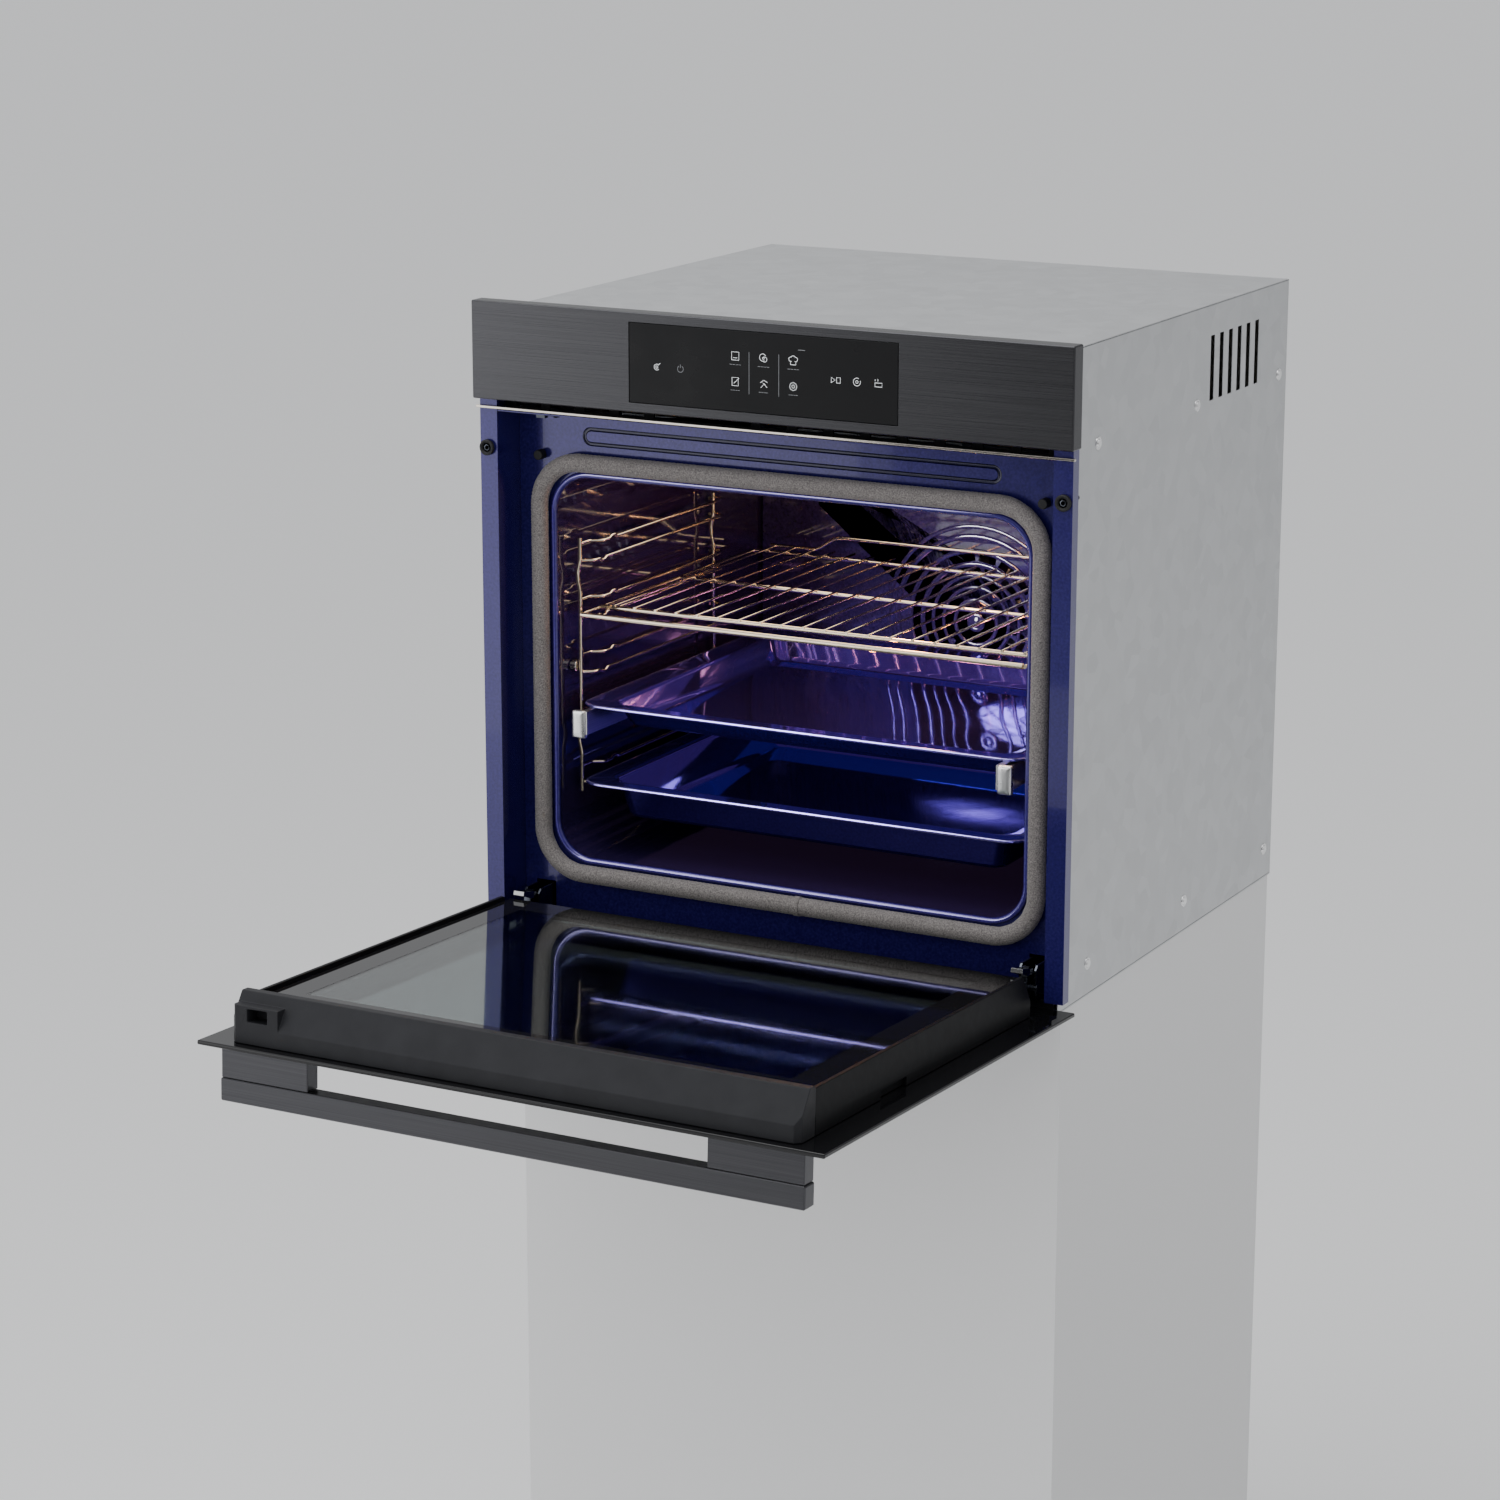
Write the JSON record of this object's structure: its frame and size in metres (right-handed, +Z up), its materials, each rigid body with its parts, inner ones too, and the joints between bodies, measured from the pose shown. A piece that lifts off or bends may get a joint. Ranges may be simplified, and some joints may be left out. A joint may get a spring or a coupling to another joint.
{
  "type": "wall oven",
  "caption": "Built-in wall oven with a drop-down glass door, control panel, enamel cavity, wire rack, trays and telescopic rails.",
  "frame": {"origin": "middle of the housing base, in the plane where the side flanges seat on the cabinet's front edge", "axes": "+X to the right seen from the front, +Y into the wall, +Z up"},
  "size_m": [0.595, 1.0131, 0.6227],
  "materials": {
    "blue_enamel": "gloss",
    "graphite_steel": "satin",
    "graphite_alloy": "satin",
    "black_glass": "polished",
    "clear_glass": "polished",
    "chrome": "polished",
    "galvanised": "satin",
    "dark_steel": "satin",
    "fan_alloy": "satin",
    "black_plastic": "satin",
    "black_rubber": "matte",
    "woven_seal": "matte",
    "mineral_wool": "matte"
  },
  "bodies": {
    "oven_body": {"front_frame": "blue_enamel", "control_panel": "graphite_steel", "display_glass": "black_glass", "trim_strip": "chrome", "vent_grille": "black_plastic", "fixing_screw_left": "black_rubber", "fixing_screw_right": "black_rubber", "door_buffer_left": "black_rubber", "door_buffer_right": "black_rubber", "door_gasket": "woven_seal", "latch_bracket": "black_plastic", "housing_left": "galvanised", "housing_right": "galvanised", "housing_top": "galvanised", "housing_base": "galvanised", "housing_back": "galvanised", "plinth_trim": "black_plastic", "terminal_block": "black_plastic", "cavity_liner": "blue_enamel", "insulation": "mineral_wool", "rear_baffle": "blue_enamel", "fan_motor": "galvanised", "ring_heater": "dark_steel", "blower_scroll": "galvanised", "blower_motor": "dark_steel", "air_duct": "galvanised", "top_heater": "dark_steel", "bottom_heater": "dark_steel", "lamp_lens": "clear_glass", "temperature_probe": "galvanised", "side_rack_left": "chrome", "side_rack_right": "chrome", "rack_knob_left": "chrome", "rack_knob_right": "chrome", "rail_fixed_left": "galvanised", "rail_fixed_right": "galvanised", "hinge_body_left": "dark_steel", "hinge_body_right": "dark_steel"},
    "door": {"door_outer_glass": "black_glass", "door_middle_glass": "clear_glass", "door_inner_glass": "clear_glass", "door_cap": "black_plastic", "door_rail_left": "black_plastic", "door_rail_right": "black_plastic", "door_sill": "black_plastic", "handle_bar": "graphite_alloy", "handle_post_left": "graphite_alloy", "handle_post_right": "graphite_alloy", "hinge_arm_left": "dark_steel", "hinge_arm_right": "dark_steel"},
    "latch": {"latch_hook": "dark_steel"},
    "lock_left": {"hinge_lock_left": "chrome"},
    "lock_right": {"hinge_lock_right": "chrome"},
    "slide_left": {"rail_slide_left": "chrome"},
    "slide_right": {"rail_slide_right": "chrome"},
    "upper_tray": {"upper_tray": "blue_enamel"},
    "lower_tray": {"lower_tray": "blue_enamel"},
    "wire_rack": {"wire_rack": "chrome"},
    "convection_fan": {"convection_fan": "fan_alloy"},
    "cooling_fan": {"cooling_fan": "fan_alloy"}
  },
  "joints": [
    {"name": "door_hinge", "type": "hinge", "parent": "oven_body", "child": "door", "pos_m": [0, 0.0028, 0.0246], "axis": [1, 0, 0], "range_deg": [-87.35, 0]},
    {"name": "latch_pivot", "type": "hinge", "parent": "oven_body", "child": "latch", "pos_m": [-0.2415, 0.0244, 0.4936], "axis": [1, 0, 0], "range_deg": [0, 12]},
    {"name": "lock_left_pivot", "type": "hinge", "parent": "door", "child": "lock_left", "pos_m": [-0.2545, -0.00236, 0.04076], "axis": [-1, 0, 0], "range_deg": [0, 60]},
    {"name": "lock_right_pivot", "type": "hinge", "parent": "door", "child": "lock_right", "pos_m": [0.2545, -0.00236, 0.04076], "axis": [-1, 0, 0], "range_deg": [0, 60]},
    {"name": "upper_tray_slide", "type": "slide", "parent": "oven_body", "child": "upper_tray", "axis": [0, -1, 0], "range_m": [0, 0.25]},
    {"name": "left_rail_slide", "type": "slide", "parent": "oven_body", "child": "slide_left", "axis": [0, -1, 0], "range_m": [0, 0.25]},
    {"name": "right_rail_slide", "type": "slide", "parent": "oven_body", "child": "slide_right", "axis": [0, -1, 0], "range_m": [0, 0.25]},
    {"name": "lower_tray_slide", "type": "slide", "parent": "oven_body", "child": "lower_tray", "axis": [0, -1, 0], "range_m": [0, 0.3]},
    {"name": "wire_rack_slide", "type": "slide", "parent": "oven_body", "child": "wire_rack", "axis": [0, -1, 0], "range_m": [0, 0.3]},
    {"name": "convection_fan_spin", "type": "hinge", "parent": "oven_body", "child": "convection_fan", "pos_m": [0, 0.446, 0.243], "axis": [0, 1, 0], "continuous": true},
    {"name": "cooling_fan_spin", "type": "hinge", "parent": "oven_body", "child": "cooling_fan", "pos_m": [0, 0.372, 0.53], "axis": [1, 0, 0], "continuous": true}
  ],
  "couplings": [
    {"joint": "left_rail_slide", "follows": "upper_tray_slide", "ratio": 1},
    {"joint": "right_rail_slide", "follows": "upper_tray_slide", "ratio": 1}
  ]
}
